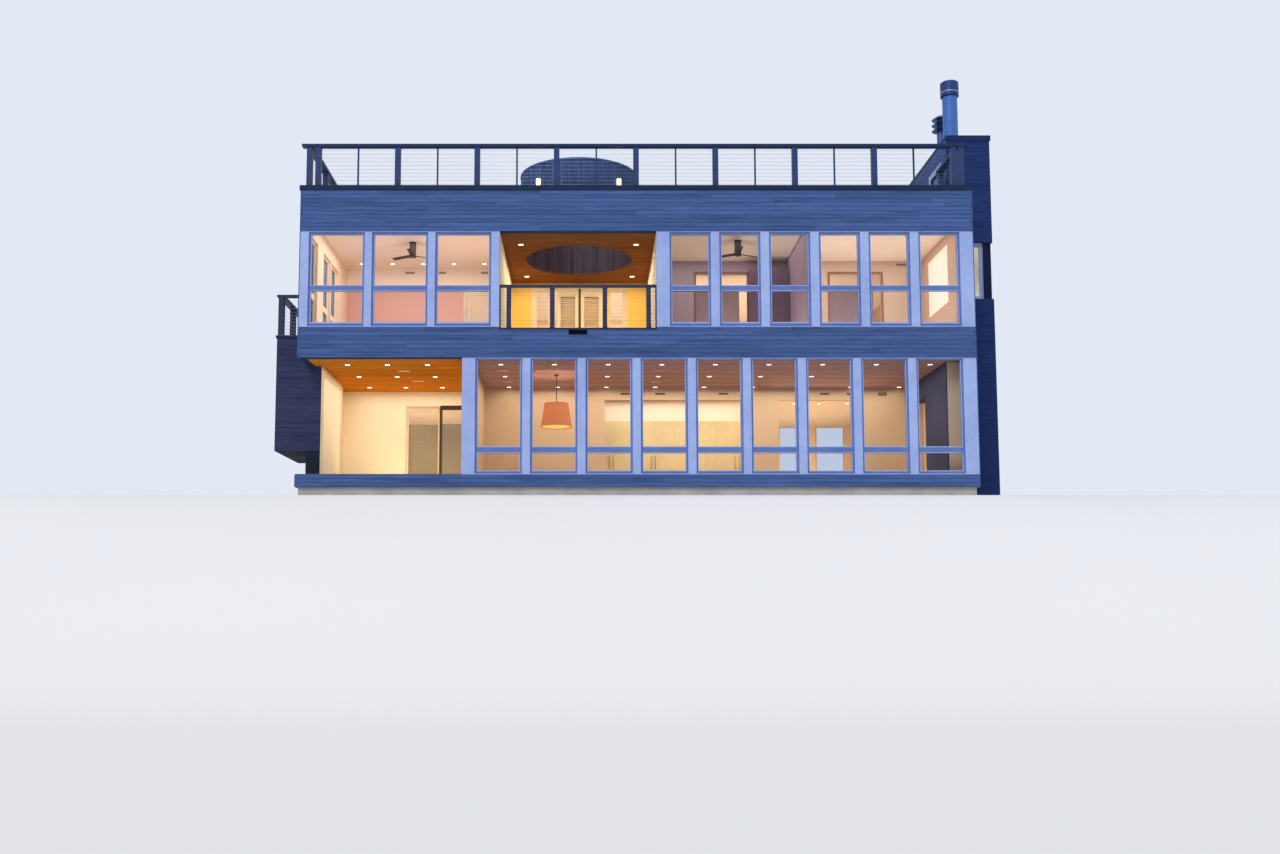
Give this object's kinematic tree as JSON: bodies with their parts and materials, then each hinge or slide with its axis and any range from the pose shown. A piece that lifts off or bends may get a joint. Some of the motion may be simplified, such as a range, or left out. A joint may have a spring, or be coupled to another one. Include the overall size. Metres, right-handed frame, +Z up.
{
  "type": "two-storey beach house",
  "caption": "Flat-roofed beach house with full-height window walls, a corner porch, a recessed balcony under a round roof light, a railed roof deck and a side tower with flues.",
  "frame": {"origin": "on the ground, in the middle of the footprint", "axes": "+X to the right seen from the front, +Y from the front to the back, +Z up"},
  "size_m": [18.29, 11.28, 11.75],
  "materials": {
    "grey_cladding": "weathered grey cedar boards",
    "dark_cladding": "dark stained boards",
    "white_trim": "satin white paint",
    "window_glass": "clear",
    "foundation": "cast concrete",
    "inner_floor": "oiled boards",
    "deck_boards": "weathered deck boards",
    "warm_plaster": "matt painted plaster",
    "door_frame": "satin dark paint",
    "ceiling_wood": "oiled cedar boards",
    "dark_rail": "satin dark paint",
    "galvanised_steel": "galvanised",
    "lamp_glass": "frosted",
    "lamp_shade": "pleated cloth",
    "dark_metal": "matt dark paint",
    "cupboard_paint": "satin cream paint",
    "dark_stone": "honed"
  },
  "bodies": {
    "house": {"balcony_ceiling": "ceiling_wood", "balcony_railing": "dark_rail", "balcony_rear_wall": "warm_plaster", "balcony_side_walls": "warm_plaster", "chimney_breast": "dark_stone", "door_glass": "window_glass", "drum_lamps": "lamp_glass", "fan_housings": "dark_metal", "foundation": "foundation", "front_and_rear_bands": "grey_cladding", "front_glass": "window_glass", "front_railing": "dark_rail", "front_window_walls": "white_trim", "ground_floor": "inner_floor", "kitchen_cupboards": "cupboard_paint", "living_ceiling": "ceiling_wood", "living_rear_wall": "warm_plaster", "pendant_rod": "dark_metal", "pendant_shade": "lamp_shade", "porch_ceiling": "ceiling_wood", "porch_door_header": "warm_plaster", "porch_door_tracks": "door_frame", "porch_fixed_panel": "door_frame", "porch_floor": "deck_boards", "porch_rear_wall": "warm_plaster", "porch_side_wall": "warm_plaster", "rear_railing": "dark_rail", "rear_walls": "grey_cladding", "roof_deck": "deck_boards", "roof_deck_bay": "deck_boards", "roof_drum": "grey_cladding", "short_vent": "galvanised_steel", "side_and_rear_glass": "window_glass", "side_bands": "grey_cladding", "side_railings": "dark_rail", "side_walls": "grey_cladding", "tall_flue": "galvanised_steel", "tower_deck_wall": "dark_cladding", "tower_door": "white_trim", "tower_end_walls": "dark_cladding", "tower_frames": "white_trim", "tower_glass": "window_glass", "tower_roof": "dark_rail", "tower_side_wall": "dark_cladding", "upper_ceiling": "warm_plaster", "upper_floor": "inner_floor", "upper_room_walls": "warm_plaster", "wing_deck": "deck_boards", "wing_pier": "dark_cladding", "wing_railing": "dark_rail", "wing_shell": "dark_cladding"},
    "porch_door": {"porch_door": "door_frame", "porch_door_glass": "window_glass"},
    "fan_left": {"fan_left": "dark_metal"},
    "fan_right": {"fan_right": "dark_metal"}
  },
  "joints": [
    {"name": "porch_door_slide", "type": "slide", "parent": "house", "child": "porch_door", "axis": [-1, 0, 0], "range_m": [0, 0.9]},
    {"name": "fan_left_spin", "type": "hinge", "parent": "house", "child": "fan_left", "pos_m": [-5.941, -3.34, 6.594], "axis": [0, 0, 1], "continuous": true},
    {"name": "fan_right_spin", "type": "hinge", "parent": "house", "child": "fan_right", "pos_m": [2.535, -3.5, 6.594], "axis": [0, 0, 1], "continuous": true}
  ]
}
